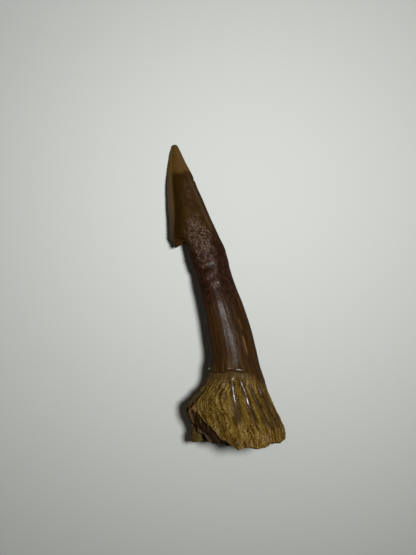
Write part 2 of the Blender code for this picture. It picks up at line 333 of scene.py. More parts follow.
def layDown(bm):
    # turned until root and tip reach equally low, then set where the frame has it; gives back how far from
    # the plan that is, along and across
    for _ in range(4):
        root = min((v.co for v in bm.verts if v.co.x < tooth["rootEnd"] * mm), key=lambda co: co.z)
        tip = min((v.co for v in bm.verts if v.co.x > tooth["bladeStart"] * mm), key=lambda co: co.z)
        turn = math.atan2(tip.z - root.z, tip.x - root.x)
        bmesh.ops.rotate(bm, cent=(0, 0, 0), matrix=Matrix.Rotation(turn, 3, "Y"), verts=bm.verts)
    low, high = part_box("rostral_tooth")
    xs, ys, zs = ([v.co[i] for v in bm.verts] for i in range(3))
    shift = (
        (low.x + high.x - min(xs) - max(xs)) / 2,
        (low.y + high.y - min(ys) - max(ys)) / 2,
        -min(zs) - tooth["restFlat"] * mm,
    )
    bmesh.ops.translate(bm, vec=shift, verts=bm.verts)
    return (max(xs) + shift[0]) / mm - tooth["tip"], shift[1] / mm


def readArray(data, key, *width):  # a number, or a vector of this width, for every vertex
    values = np.empty((len(data), *width), np.float32)
    data.foreach_get(key, values.ravel())
    return values.astype(float)


def speckle(points, size, seed):  # smooth noise from about -1 to 1 with lumps of this size
    scaled = points / size + seed * 7.3
    return np.array([noise.noise(point) for point in scaled.tolist()]) * 1.6


def bumps(s, height, size, seed):
    return height * speckle(s.place, size, seed)


def roundGrains(points, size):  # 1 on a grain, 0 in the gaps between
    spread = [noise.voronoi(point)[0] for point in (points / size).tolist()]
    return smooth(0.0, 0.35, np.array([near[1] - near[0] for near in spread]))


def beside(s, line, farWidth, nearWidth, nearFade=1.4):
    # how far each place lies to the side of a line drawn from above, in half-widths, and a share that is 1
    # along the line and fades at its two ends; the near end is the one towards the base
    line = sorted(line)
    first, last = line[0][0], line[-1][0]
    wide = mix(nearWidth, farWidth, smooth(first, last, s.x))
    ends = smooth(first - 0.7, first - 0.7 + nearFade, s.x) * smooth(last + 0.4, last - 0.6, s.x)
    return (s.y - through(line, s.x)) / wide, ends * s.above


def spot(s, along, across, size):  # a round spot drawn from above: 1 at its middle
    return np.exp(-((s.x - along) ** 2 + (s.y - across) ** 2) / size**2)


# Ridges of the root's upper side, from the crown's collar down: the crest's places from above (along,
# across), the half-width and the height at the collar's end and at the base's end, how far the crest leans
# to the front edge, where along it stops being glossy, and how glossy it is.
rootRidges = (
    (((10.5, -1.2), (9.2, -1.17), (7.97, -1.12), (7.0, -1.06), (4.6, -0.99), (3.0, -0.9)),
     0.23, 0.5, 0.17, 0.1, 0.15, 6.9, 1.0),
    (((10.3, -2.5), (9.0, -2.8), (7.57, -3.0), (6.27, -3.16), (4.69, -3.32), (2.6, -3.44)),
     0.25, 0.28, 0.2, 0.12, -0.05, 5.7, 1.0),
    (((9.5, -3.7), (8.7, -3.92), (7.23, -4.2), (6.02, -4.48), (4.67, -4.78), (3.37, -5.05), (1.2, -5.65)),
     0.17, 0.24, 0.19, 0.14, -0.3, 6.2, 0.14),
    (((9.2, -4.6), (7.8, -4.95), (5.4, -5.4), (3.4, -5.75), (1.6, -6.1)),
     0.12, 0.16, 0.09, 0.06, -0.3, 9.3, 0.0),
    (((8.5, -5.25), (7.23, -5.52), (4.25, -6.06), (1.85, -6.57), (0.9, -6.95)),
     0.2, 0.28, 0.16, 0.14, -0.2, 6.6, 0.12),
    (((7.6, -5.85), (6.35, -6.09), (3.69, -6.87), (1.2, -7.5)), 0.16, 0.2, 0.14, 0.12, -0.2, 6.2, 0.1),
    (((10.2, 0.1), (9.26, 0.48), (8.31, 0.66), (6.6, 0.72), (4.2, 0.8)), 0.2, 0.3, 0.09, 0.07, 0.2, 8.8, 0.3),
    (((9.9, 0.95), (7.92, 1.5), (6.55, 1.6), (5.0, 1.62), (3.0, 1.75)),
     0.26, 0.42, 0.08, 0.08, 0.1, 9.5, 0.0),
    (((10.0, 1.55), (8.8, 2.3), (7.4, 2.9), (6.2, 3.05), (4.4, 3.15)), 0.13, 0.18, 0.09, 0.07, 0.2, 9.3, 0.1),
    (((10.2, 1.8), (8.8, 2.75), (7.6, 3.6), (6.2, 3.9), (5.0, 4.0)), 0.1, 0.14, 0.07, 0.06, 0.2, 9.3, 0.1),
    (((10.2, 2.05), (8.8, 3.25), (7.8, 4.2), (6.6, 4.8)), 0.1, 0.15, 0.08, 0.06, 0.2, 9.3, 0.1),
    (((10.2, 2.35), (8.9, 3.9), (8.1, 5.1), (7.6, 6.0)), 0.1, 0.14, 0.07, 0.05, 0.2, 9.3, 0.1),
)
# The ochre hollows between them: places, half-widths, and how yellow each is.
rootValleys = (
    (((9.3, -0.36), (7.6, -0.19), (6.23, -0.05), (4.87, 0.19), (3.0, 0.04)), 0.26, 0.6, 1.0),
    (((9.6, -1.9), (8.2, -2.02), (6.3, -2.1), (4.9, -2.3), (3.0, -2.4)), 0.34, 0.6, 1.0),
    (((8.9, -3.6), (7.0, -3.85), (5.0, -4.2), (3.4, -4.4), (1.6, -4.65)), 0.28, 0.5, 0.8),
    (((7.9, -5.0), (5.8, -5.3), (4.0, -5.62), (2.2, -5.95)), 0.2, 0.3, 0.7),
    (((8.6, 3.2), (7.4, 4.0), (6.4, 4.4)), 0.4, 0.7, 0.5),
    (((6.0, 2.4), (4.6, 2.6), (3.2, 2.6)), 0.4, 0.5, 0.5),
    (((5.0, 0.4), (3.0, -0.4), (0.6, -1.4)), 0.5, 1.2, 0.5),
)
# Narrow furrows along the front three of the wider ridges, darkened with painted shade.
rootFurrows = (
    ((7.6, -3.16), (6.41, -3.32), (5.44, -3.48), (4.49, -3.62), (3.3, -3.85)),
    ((8.6, -4.22), (6.81, -4.5), (5.73, -4.74), (4.68, -4.98), (3.78, -5.2), (2.78, -5.48), (1.9, -5.8)),
    ((7.4, -5.5), (6.14, -5.7), (5.05, -5.93), (3.98, -6.23), (3.0, -6.57), (2.2, -6.87)),
)
# Two values for a mark are where it starts and where it is whole or, for a band, its middle and its spread.
# Four are the two between which it fades in and the two between which it fades out. Swells and grains have a
# height, a size and the seed of their noise. A line's places are along and across, but across and along where
# it crosses the tooth, as the collar's arc and the amber's end do.
detail = {
    "above": (-0.1, 0.3),  # how far up a surface faces
    "wrap": 4,  # the radius of the tube that streaks and fibres are laid round
    "streak": (3.2, 3.2, 0.1),
    "fibre": (2.4, 2.4, 0.14),
    "fibreHeight": 0.05,
    # the lip of the enamel and the brown collar below it, by their distance above the enamel's edge
    "enamelBlend": (-0.05, 0.05),
    "lipHeight": 0.1,
    "lipRise": (3.5, 0.1),
    "lipBead": (0.22, 0.17, 0.05),  # where, half-width, height
    # the groove under the lip, darkened with painted shade
    "lipGroove": (-0.1, 0.11, 0.1),
    "lipGloss": (0.0, 0.08, 0.3, 0.5),
    "lipTurns": ((140, 112), (205, 250)),  # degrees: the lip fades from 112 to 140 and is back by 250,
    "lipFaint": 0.25,  # and is this strong between them
    "lipBroken": (0.6, 11),
    "foot": (2.6, 0.4),  # where the crown's streaks turn amber
    "collar": (-2.3, -0.6),
    "collarSide": (-5.9, 0.8),  # across and spread: along the front edge the collar reaches further down,
    "collarSideEnd": (6.9, 8.3),  # to here
    "collarArc": ((0.1, 10.05), (-0.35, 10.5), (-0.96, 10.68), (-1.9, 10.62), (-2.4, 10.42), (-2.8, 9.9)),
    "collarArcSize": (0.22, 0.045),  # half-width, height
    "collarArcAcross": (-3.0, -2.4, 0.0, 0.5),
    "collarArcBroken": (0.45, 21),
    # the root's upper side
    "ridgeFade": 2.6,
    "ridgeFull": 0.16,  # the height from which a ridge is wholly smooth and dark
    "ridgeFlank": (1.35, 0.42),  # where the painted shade on a ridge's flanks lies and how wide it is, in half-widths
    "ridgeGlossEnd": (-1.3, 0.8),
    "valleyDepth": 0.06,
    "furrowHalf": 0.15,
    "furrowDepth": 0.08,
    # how dark the furrows' painted shade is
    "furrowShade": 1.1,
    "flangeGroove": ((6.9, 6.5), (7.5, 6.2), (8.3, 5.32), (9.1, 4.3), (10.0, 3.05)),
    "flangeGrooveSize": (0.28, 0.32, 0.42, 1.3),  # half-widths at its far and near end, depth, and how dark its painted shade is
    "flange": (0.3, 1.2),  # how far beyond that groove the flange and its painted shade lie, in half-widths
    # a paler line along the flange's outer edge: a painted highlight
    "flangeLine": (1.9, 0.6),
    # the folds of its sides and underside, and its roughness
    "underFolds": (15, 0.22, 0.1),  # how many, their height, and how deep they start
    "underTurn": (0.2, -0.2),
    "underEnd": (-0.6, -2.4),
    "flare": (-0.9, -2.2),
    "rootSwell": (0.07, 1.8, 7),
    "rootGrains": ((0.045, 0.36, 2), (0.03, 0.22, 12)),
    "rimChips": ((0.8, -4.5, 0.5), (0.4, -4.95, 0.4), (0.9, -0.45, 0.35), (7.2, 5.75, 0.6), (0.2, -2.1, 0.3)),
    "rimChipped": (0.4, 0.1),  # how far from the rim it is worn pale, with a ragged edge,
    "rimRagged": (0.12, 0.6, 18),
    "rimAcross": (0.8, 1.6),  # on the barb's side of this
    # the crown and its grainy patch
    "neckRing": (28.7, -1.5, 0.18, 0.7, 0.09),  # along, across, slant, half-width, depth
    "grainLane": ((24.0, -2.0), (28.0, -1.5), (31.5, -1.2), (34.0, -0.9), (37.0, -0.3), (41.0, 0.1)),
    "grainHalf": ((24.0, 0.5), (27.0, 0.85), (30.0, 1.3), (33.5, 1.6), (37.0, 1.2), (41.5, 0.5)),
    "grainEdge": (0.35, 0.8, 13),
    "grainReach": (22.5, 26.0, 36.0, 38.5),
    "grainThin": 0.3,
    "grainThick": ((32.6, 4.0, 0.7), (25.5, 1.2, 0.3)),  # along, spread, how much more of them
    "grainPatches": (1.3, 25),
    "loneGrains": (40.3, 2.0, 0.2, 0.9),  # along and its spread, across and its spread
    "lonePatches": (0.7, 22),
    "grainSize": 0.46,
    "grainHeight": 0.035,
    "grainRough": (0.02, 0.3, 3),
    "grainBed": (0.02, 0.9, 8),
    "grainBedReach": (23, 27, 34, 40),
    "bodySwells": ((0.04, 2.6, 4), (0.006, 0.3, 17)),
    # along, across, size, depth
    "pits": ((27.7, 0.66, 0.24, 0.2), (48.59, 0.17, 0.16, 0.05), (16.0, -3.5, 0.22, 0.03)),
    "nick": (43.05, -1.95, 0.2, 0.15),
    "striaReach": (10.5, 13, 22, 25),
    "striaHeight": 0.014,
    "scratch": ((13.9, -4.53), (15.48, -4.47), (16.4, -4.4), (18.4, -4.44), (19.8, -4.2)),
    "scratchHalf": 0.09,
    "scratchDepth": 0.04,
    "scratchFaint": (0.4, 17.2, 16.4),  # how bright its upper part is, and where it starts
    "scratchGap": (17.3, 0.5),
    # the blade: its amber tip with a painted sheen on its front side, bevel coloured as a painted reflection
    # with a painted glow along its inner side, dark wing and painted sheen along the front edge
    "amberEnd": ((-1.9, 43.7), (-1.3, 44.3), (-0.8, 44.55), (0.0, 44.5), (1.4, 44.8), (2.2, 44.9)),
    "amberRagged": (0.12, 0.5, 15),
    "amberBlend": (-0.4, 0.45),
    # where the tip's front side takes a painted sheen
    "tipSide": (0.5, -0.4),
    "tipSlant": (49, 0.1),
    "bladeFrom": (33.2, 34.0),
    "bevelLine": (
        (34.4, 3.37), (37.0, 2.77), (39.05, 2.44), (41.1, 2.23), (43.8, 1.83), (46.1, 1.43), (48.4, 0.71),
    ),
    "bevelBlend": (0.08, -0.12),
    # the painted glow of light through the thin amber along the bevel's inner side
    "bevelGlow": (-0.08, 0.26),
    "bevelGlowFrom": (35.5, 39.5),
    "wing": (0.05, 0.35, 0.9, 1.9),
    "wingSlant": (34, 0.06),
    # the painted sheen along the front edge
    "frontSheen": (0.62, 0.24),
    "frontSheenReach": (33.5, 35.5, 42.5, 44.5),
    "frontLine": (0.35, 0.1),
    "frontLineReach": (33, 35, 44, 46),
    # inside the broken base; the shelf is the slope of its broken wall
    "shelfTurn": (0.08, 0.2),  # how far up, and how far towards the barb's side
    "shelfSide": (-0.05, 0.1),
    "hollowGrains": ((0.11, 0.8, 6), (0.05, 0.35, 16)),
    "stripes": ((0.16, 1.0, 0.3), 0.38, 19),  # stretch, size, seed
    "stripeHeight": 0.1,
    "hollowRidge": (
        (0.9, 3.6), (1.5, 3.88), (2.12, 4.16), (2.64, 4.48), (3.24, 5.13), (3.88, 5.67), (4.39, 6.3),
    ),
    "hollowRidgeHalf": (0.11, 0.1),
    "hollowCrest": (0.5, 1.0, 0.14),  # to its side and how wide, in half-widths, and its height
    # the groove before the ridge and the pit are darkened with painted shade
    "hollowChannel": (-4.2, 1.8, 0.2),
    "hollowPit": ((1.5, 4.25), (2.2, 4.7), (2.75, 5.1)),
    "hollowPitSize": (0.3, 0.3),  # half-width, depth
    "hollowLump": (2.5, 5.9, 1.0, 0.3),  # along, across, size, height
    "lumpGrains": (0.1, 0.45, 26),
    "breakEdge": (0.4, 0.17),
    "breakEdgeReach": (3.8, 4.6, 6.4, 7.0),
    "shelfMauve": (5.4, 3.6),
}


class Surface:  # what the carving needs to know about every vertex, in millimetres
    def __init__(self, mesh):
        layers = mesh.attributes
        self.place = readArray(layers["position"].data, "vector", 3) / mm
        self.normal = readArray(mesh.vertex_normals, "vector", 3)
        self.along, self.turn, self.hollow = (
            readArray(layers[name].data, "value") for name in ("along", "turn", "hollow")
        )
        self.x, self.y = self.place[:, 0] - planShift[0], self.place[:, 1] - planShift[1]
        self.above = smooth(*detail["above"], self.normal[:, 2])
        self.outside = 1 - self.hollow
        wrap = detail["wrap"]
        self.grain = np.stack((wrap * np.cos(self.turn), wrap * np.sin(self.turn), self.along), axis=-1)
        self.beyond = self.along - enamelEnd(self.turn)  # how far up the crown from the enamel's edge
        self.enamel = smooth(*detail["enamelBlend"], self.beyond) * self.outside
        self.root = (1 - self.enamel) * self.outside
        degrees = np.degrees(self.turn)
        self.lip = mix(detail["lipFaint"], 1, sum(smooth(*turn, degrees) for turn in detail["lipTurns"]))
        self.streak = speckle(self.grain * detail["streak"], 1.0, 5)
        self.fibre = speckle(self.grain * detail["fibre"], 1.0, 1)


def carveLip(s, marks):
    # the enamel's edge stands proud of the root as a broken bead, and fades out towards the front edge
    beadAt, beadHalf, beadHeight = detail["lipBead"]
    grooveAt, grooveHalf, grooveDepth = detail["lipGroove"]
    broken = speckle(s.grain, *detail["lipBroken"])
    bead = s.lip * bell(s.beyond, beadAt, beadHalf) * (0.5 + 0.5 * broken)
    groove = s.lip * bell(s.beyond, grooveAt, grooveHalf)
    # the groove under the lip is darkened with painted shade
    marks["groove"] = groove * s.outside
    gloss = s.lip * within(detail["lipGloss"], s.beyond)
    marks["shine"] = gloss * smooth(-0.35, 0.25, broken) * s.above * smooth(-3.4, -2.6, s.y)
    marks["foot"] = s.lip * smooth(*detail["foot"], s.beyond)
    fade = (1 - s.lip) * s.above
    enamel = smooth(*detail["enamelBlend"], s.beyond + fade * (0.9 * s.streak + 0.15))
    marks["enamel"] = enamel * s.outside
    collar = smooth(*detail["collar"], s.beyond + fade * (0.6 * s.streak - 0.6))
    side = bell(s.y, *detail["collarSide"]) * smooth(*detail["collarSideEnd"], s.x + 0.5 * s.streak)
    marks["collar"] = np.maximum(collar, side * s.above)
    return (
        detail["lipHeight"] * s.lip * s.enamel * smooth(*detail["lipRise"], s.beyond)
        + beadHeight * bead * s.enamel
        - grooveDepth * groove * s.root
    )


def carveFolds(s, marks):
    # the drawn ridges of the root's upper side, with their valleys and furrows, and the even folds below
    move = np.zeros_like(s.x)
    ridge, valley, flank = np.zeros_like(s.x), np.zeros_like(s.x), np.zeros_like(s.x)
    flankAt, flankHalf = detail["ridgeFlank"]
    for line, farWidth, nearWidth, farHeight, nearHeight, lean, glossEnd, glossShare in rootRidges:
        reach, ends = beside(s, line, farWidth, nearWidth, detail["ridgeFade"])
        part = np.exp(-(np.abs(reach) ** 3)) * ends
        height = mix(nearHeight, farHeight, smooth(line[-1][0], line[0][0], s.x))
        move += height * part * (1 + lean * np.clip(reach, -1.5, 1.5))
        tall = farHeight / detail["ridgeFull"]
        ridge = np.maximum(ridge, part * min(tall**2, 1))
        # painted shade along both flanks of each ridge
        flank = np.maximum(flank, bell(np.abs(reach), flankAt, flankHalf) * ends * min(tall, 1))
        low, high = (glossEnd + step for step in detail["ridgeGlossEnd"])
        gloss = np.exp(-((reach * 1.1) ** 4)) * ends * smooth(low, high, s.x)
        marks["shine"] = np.maximum(marks["shine"], gloss * glossShare * s.root)
    for line, farWidth, nearWidth, yellow in rootValleys:
        reach, ends = beside(s, line, farWidth, nearWidth)
        part = bell(reach, 0, 1) * ends
        move -= detail["valleyDepth"] * part
        valley = np.maximum(valley, part * yellow)
    for line in rootFurrows:
        reach, ends = beside(s, line, detail["furrowHalf"], detail["furrowHalf"])
        part = bell(reach, 0, 1) * ends * s.root
        move -= detail["furrowDepth"] * part
        # the furrows darkened with painted shade
        marks["groove"] = np.maximum(marks["groove"], detail["furrowShade"] * part)
    count, height, depth = detail["underFolds"]
    folds = np.cos(count * s.turn + 1.5 * np.sin(2 * s.turn) + 0.8 * np.sin(s.along * 0.5))
    folds = 0.5 + 0.5 * folds
    below = smooth(*detail["underTurn"], np.sin(s.turn)) * smooth(*detail["underEnd"], s.beyond)
    move += (height * folds - depth) * below
    ridge = np.maximum(ridge, folds * below * 0.9)
    marks["ridge"] = np.clip(ridge, 0, 1) * s.root
    marks["flank"] = np.clip(flank, 0, 1) * s.root * s.above
    marks["valley"] = valley * s.root
    return (move + carveRoughness(s, ridge)) * s.root


def carveRoughness(s, ridge):  # fibres and grains all over the root, fainter on its ridges
    flare = smooth(*detail["flare"], s.beyond)
    rough = flare * (1 - 0.85 * ridge)
    move = detail["fibreHeight"] * s.fibre * rough + bumps(s, *detail["rootSwell"]) * flare
    for grains in detail["rootGrains"]:
        move += bumps(s, *grains) * rough
    return move


def carveFlange(s, marks):
    # the groove that parts the thin flange from the root's upper side, with painted shade in the groove and
    # over the flange and a painted highlight along the flange's outer edge, and the glossy arc under the
    # collar
    farWidth, nearWidth, depth, darkness = detail["flangeGrooveSize"]
    reach, ends = beside(s, detail["flangeGroove"], farWidth, nearWidth)
    seam = np.exp(-(np.abs(reach) ** 3)) * ends * s.root
    marks["groove"] = np.maximum(marks["groove"], darkness * seam)
    marks["flange"] = smooth(*detail["flange"], reach) * ends * s.root
    marks["flangeLine"] = bell(reach, *detail["flangeLine"]) * ends * s.root
    arcHalf, arcHeight = detail["collarArcSize"]
    arc = bell(s.x, through(sorted(detail["collarArc"]), s.y), arcHalf)
    arc = arc * within(detail["collarArcAcross"], s.y) * s.above
    broken = speckle(s.place, *detail["collarArcBroken"])
    marks["shine"] = np.maximum(marks["shine"], arc * np.clip(0.4 + broken, 0, 0.9))
    return (arcHeight * arc - depth * seam) * s.root


def markRim(s, marks):  # pale chips on the rim, and its pale worn edge along the break
    chips = np.zeros_like(s.x)
    for along, across, size in detail["rimChips"]:
        chips = np.maximum(chips, spot(s, along, across, size))
    fromRim = s.along - rim(s.turn)
    edge = smooth(*detail["rimChipped"], fromRim + bumps(s, *detail["rimRagged"]))
    edge = 0.6 * edge * smooth(*detail["rimAcross"], s.y)
    marks["chips"] = np.maximum(chips, edge) * s.above * s.outside


def carveCrown(s, marks):
    # a shallow ring round the neck, soft swells, pits, a nick, growth lines and a scratch
    ringAlong, ringAcross, slant, ringHalf, ringDepth = detail["neckRing"]
    move = -ringDepth * bell(s.x, ringAlong + (s.y - ringAcross) * slant, ringHalf) * s.outside
    for swell in detail["bodySwells"]:
        move += bumps(s, *swell) * s.outside
    for along, across, size, depth in detail["pits"]:
        move -= depth * spot(s, along, across, size) * s.above
    along, across, size, depth = detail["nick"]
    move -= depth * spot(s, along, across, size)
    marks["striated"] = within(detail["striaReach"], s.x)
    move += detail["striaHeight"] * s.streak * marks["striated"] * s.enamel
    reach, ends = beside(s, detail["scratch"], detail["scratchHalf"], detail["scratchHalf"])
    faint, faintFrom, brightTo = detail["scratchFaint"]
    bright = mix(faint, 1, smooth(faintFrom, brightTo, s.x)) * (1 - bell(s.x, *detail["scratchGap"]))
    marks["scratch"] = bell(reach, 0, 1) * ends * bright
    return move - detail["scratchDepth"] * marks["scratch"]


def carveGrains(s, marks):
    # a grainy patch that narrows towards the root, with a few lone grains further up the blade
    lane, half = through(detail["grainLane"], s.x), through(detail["grainHalf"], s.x)
    edge = 1.0 + bumps(s, *detail["grainEdge"])
    grains = smooth(edge + 0.2, edge - 0.3, np.abs(s.y - lane) / half)
    dense = detail["grainThin"] + sum(more * bell(s.x, at, wide) for at, wide, more in detail["grainThick"])
    patchy = smooth(-0.8, 0.4, speckle(s.place, *detail["grainPatches"]) + 1.8 * dense - 1.0)
    along, alongSpread, across, acrossSpread = detail["loneGrains"]
    lone = smooth(0.1, 0.5, speckle(s.place, *detail["lonePatches"]))
    lone = lone * bell(s.x, along, alongSpread) * bell(s.y, across, acrossSpread)
    grains = np.maximum(grains * patchy * within(detail["grainReach"], s.x), 0.8 * lone)
    grains = grains * s.above * s.enamel
    grainy = grains > 0.01
    lump = np.zeros_like(s.x)
    lump[grainy] = roundGrains(s.place[grainy], detail["grainSize"])
    marks["grains"] = grains
    marks["lumps"] = lump * grains
    bed = bumps(s, *detail["grainBed"]) * within(detail["grainBedReach"], s.x) * s.enamel
    return (detail["grainHeight"] * lump + bumps(s, *detail["grainRough"])) * grains + bed


def markBlade(s, marks):
    # an amber tip with a painted sheen on its front side, the bevel coloured as a painted reflection with a
    # painted glow of light through the thin translucent band along its inner side, and the front edge's
    # painted sheen
    tipAt, slant = detail["tipSlant"]
    ragged = bumps(s, *detail["amberRagged"])
    marks["amber"] = smooth(*detail["amberBlend"], s.x - through(detail["amberEnd"], s.y) + ragged)
    marks["tipSide"] = marks["amber"] * smooth(*detail["tipSide"], s.y - slant * (tipAt - s.x))
    inward = through(detail["bevelLine"], s.x) - s.y  # from the bevel's inner line towards the body
    blade = smooth(*detail["bladeFrom"], s.x)
    marks["bevel"] = smooth(*detail["bevelBlend"], inward) * blade
    marks["bevelGlow"] = bell(inward, *detail["bevelGlow"]) * blade * smooth(*detail["bevelGlowFrom"], s.x)
    wingFrom, slant = detail["wingSlant"]
    start, full, end, gone = detail["wing"]
    wing = smooth(start, full, inward) * smooth(gone, end, inward - slant * (s.x - wingFrom))
    marks["wing"] = wing * blade
    inset = s.y + through(tooth["frontEdge"], s.x)
    sheen = bell(inset, *detail["frontSheen"]) * within(detail["frontSheenReach"], s.x)
    line = smooth(*detail["frontLine"], inset) * within(detail["frontLineReach"], s.x)
    marks["frontSheen"] = sheen * s.above
    marks["frontLine"] = line * s.above


def carveHollow(s, marks):
    # inside the broken base: the wall's broken side slopes down to a sharp pale ridge with a groove before
    # it; a pit and an ochre lump lie below, and the groove and the pit are darkened with painted shade
    lit = s.hollow * s.above
    shelf = smooth(*detail["shelfTurn"], np.sin(s.turn)) * smooth(*detail["shelfSide"], np.cos(s.turn)) * lit
    floor = lit * (1 - shelf)
    move = sum(bumps(s, *grains) for grains in detail["hollowGrains"]) * s.hollow
    stretch, size, seed = detail["stripes"]
    stripes = speckle(s.place * stretch, size, seed)
    move += detail["stripeHeight"] * stripes * lit
    crestAt, crestHalf, crestHeight = detail["hollowCrest"]
    channelAt, channelHalf, channelDepth = detail["hollowChannel"]
    reach, ends = beside(s, detail["hollowRidge"], *detail["hollowRidgeHalf"])
    ridge, channel = bell(reach, crestAt, crestHalf) * ends, bell(reach, channelAt, channelHalf) * ends
    move += (crestHeight * ridge - channelDepth * channel) * shelf
    pitHalf, pitDepth = detail["hollowPitSize"]
    reach, ends = beside(s, detail["hollowPit"], pitHalf, pitHalf)
    pit = bell(reach, 0, 1) * ends * floor
    along, across, size, lumpHeight = detail["hollowLump"]
    lump = spot(s, along, across, size) * s.above * floor
    move += lumpHeight * lump - pitDepth * pit + bumps(s, *detail["lumpGrains"]) * lump
    inset = through(tooth["backEdge"], s.x) - s.y
    edge = bell(inset, *detail["breakEdge"]) * within(detail["breakEdgeReach"], s.x)
    # painted shade in the pit and the groove
    marks["hollowDark"] = np.clip(pit + 0.75 * channel * shelf, 0, 1)
    marks["hollowStripe"] = stripes
    marks["hollowLump"] = np.clip(1.6 * lump, 0, 1)
    marks["hollowPale"] = np.maximum(ridge, 0.25 * edge) * shelf
    marks["hollowMauve"] = shelf * smooth(*detail["shelfMauve"], s.x)
    return move


def carve(mesh):  # moves the surface in and out by its detail, and marks it for the material
    s, marks = Surface(mesh), {}
    parts = (carveLip, carveFolds, carveFlange, carveCrown, carveGrains, carveHollow)
    move = sum(part(s, marks) for part in parts)
    markRim(s, marks)
    markBlade(s, marks)
    marks["skyward"] = smooth(0.3, 0.75, s.normal[:, 2])
    place = s.place + s.normal * move[:, None]
    place[:, 2] = np.maximum(place[:, 2], 0)
    mesh.vertices.foreach_set("co", (place * mm).astype(np.float32).ravel())
    for name, values in marks.items():
        mark = mesh.attributes.new(name, "FLOAT", "POINT")
        mark.data.foreach_set("value", values.astype(np.float32))
    grain = mesh.attributes.new("grain", "FLOAT_VECTOR", "POINT")
    grain.data.foreach_set("vector", s.grain.astype(np.float32).ravel())
    mesh.update()


print("shaping the tooth")
bm = toothSheet()
planShift = layDown(bm)
mesh = bpy.data.meshes.new("rostralTooth")
bm.to_mesh(mesh)
bm.free()
mesh.shade_smooth()
print("carving its detail")
carve(mesh)
print("faces", len(mesh.polygons), "plan shift", planShift)


class Signal:  # a node's output that can be used in sums
    def __init__(self, finish, socket):
        self.finish, self.socket = finish, socket

    def __add__(self, other):
        return self.finish.sum("ADD", self, other)

    def __sub__(self, other):
        return self.finish.sum("SUBTRACT", self, other)

    def __rsub__(self, other):
        return self.finish.sum("SUBTRACT", other, self)

    def __mul__(self, other):
        return self.finish.sum("MULTIPLY", self, other)

    __radd__, __rmul__ = __add__, __mul__


class Finish:  # the nodes of one material
    def __init__(self, name):
        self.material = bpy.data.materials.new(name)
        self.material.use_nodes = True
        self.tree = self.material.node_tree
        self.shader = self.tree.nodes["Principled BSDF"]

    def node(self, kind, settings, values, out=0):
        made = self.tree.nodes.new("ShaderNode" + kind)
        for key, value in settings.items():
            if key == "stops":
                for stop in value[2:]:
                    made.color_ramp.elements.new(stop[0])
                for element, stop in zip(made.color_ramp.elements, value):
                    element.position = stop[0]
                    element.color = (*stop[1], 1)
            else:
                setattr(made, key, value)
        for key, value in values.items():
            self.feed(made.inputs[key], value)
        return Signal(self, made.outputs[out])

    def feed(self, socket, value):
        if isinstance(value, Signal):
            self.tree.links.new(value.socket, socket)
        elif isinstance(value, tuple) and len(value) == 3 and socket.type == "RGBA":
            socket.default_value = (*value, 1)
        else:
            socket.default_value = value

    def sum(self, operation, a, b):
        return self.node("Math", {"operation": operation}, {0: a, 1: b})

    def mark(self, name, out="Fac"):
        return self.node("Attribute", {"attribute_name": name}, {}, out)

    def blend(self, share, a, b):
        return self.node("Mix", {"data_type": "RGBA", "blend_type": "MIX"}, {0: share, 6: a, 7: b}, 2)

    def paint(self, under, name, colour):  # a colour laid over another where the carving left this mark
        return self.blend(self.mark(name) * paintStrength[name], under, toothColours[colour])

    def ramp(self, value, low, high, start=0.0, end=1.0):
        settings = {"interpolation_type": "SMOOTHSTEP", "clamp": True}
        return self.node("MapRange", settings, {0: value, 1: low, 2: high, 3: start, 4: end})

    def scaled(self, vector, scale):
        return self.node("VectorMath", {"operation": "MULTIPLY"}, {0: vector, 1: scale})

    def noise(self, vector, scale, octaves=2.0, roughness=0.5):
        values = {"Vector": vector, "Scale": scale, "Detail": octaves, "Roughness": roughness}
        return self.node("TexNoise", {}, values)


def srgb(red, green, blue):
    levels = (value / 255 for value in (red, green, blue))
    return tuple(v / 12.92 if v <= 0.04045 else ((v + 0.055) / 1.055) ** 2.4 for v in levels)


toothColours = {
    "bladeBrown": srgb(62, 42, 14),
    "bladeDark": srgb(50, 32, 8),
    "neckMaroon": srgb(59, 35, 24),
    "neckDark": srgb(38, 22, 14),
    "crownOlive": srgb(60, 40, 17),
    "crownAmber": srgb(88, 64, 26),
    "russet": srgb(84, 44, 20),
    # the dark of the crown's striae, and the painted shade in grooves
    "striaDarkAndGrooveShade": srgb(34, 21, 6),
    "striaPale": srgb(98, 70, 44),
    "amber": srgb(88, 62, 20),
    # also the colour of the painted glow inside the bevel
    "amberEdge": srgb(100, 78, 40),
    # the next three are a painted sheen, a painted reflection and painted glints
    "tipPaintedSheen": srgb(96, 73, 46),
    "paintedReflectionMauve": srgb(90, 74, 62),
    "grainPaintedGlint": srgb(122, 99, 84),
    "scratch": srgb(150, 108, 60),
    "collar": srgb(80, 59, 34),
    "ridge": srgb(78, 56, 38),
    "valley": srgb(124, 99, 38),
    "chip": srgb(148, 118, 80),
    # painted shade on the ridges' flanks and the flange, and a painted highlight on the flange's edge
    "flank": srgb(48, 33, 15),
    "flange": srgb(50, 44, 32),
    "flangeEdgeHighlight": srgb(112, 98, 76),
    "hollowMauve": srgb(76, 54, 38),
    "hollowOchre": srgb(94, 80, 48),
    # painted shade in the hollow's pit and groove
    "hollowDark": srgb(18, 10, 4),
    "hollowPale": srgb(150, 124, 96),
}
hollowStops = (
    (0.0, srgb(26, 15, 3)),
    (0.5, srgb(60, 43, 21)),
    (1.0, srgb(112, 86, 54)),
)
rootStops = (
    (0.0, srgb(54, 35, 8)),
    (0.25, srgb(78, 56, 18)),
    (0.5, srgb(105, 80, 27)),
    (0.75, srgb(134, 107, 47)),
    (1.0, srgb(166, 142, 92)),
)
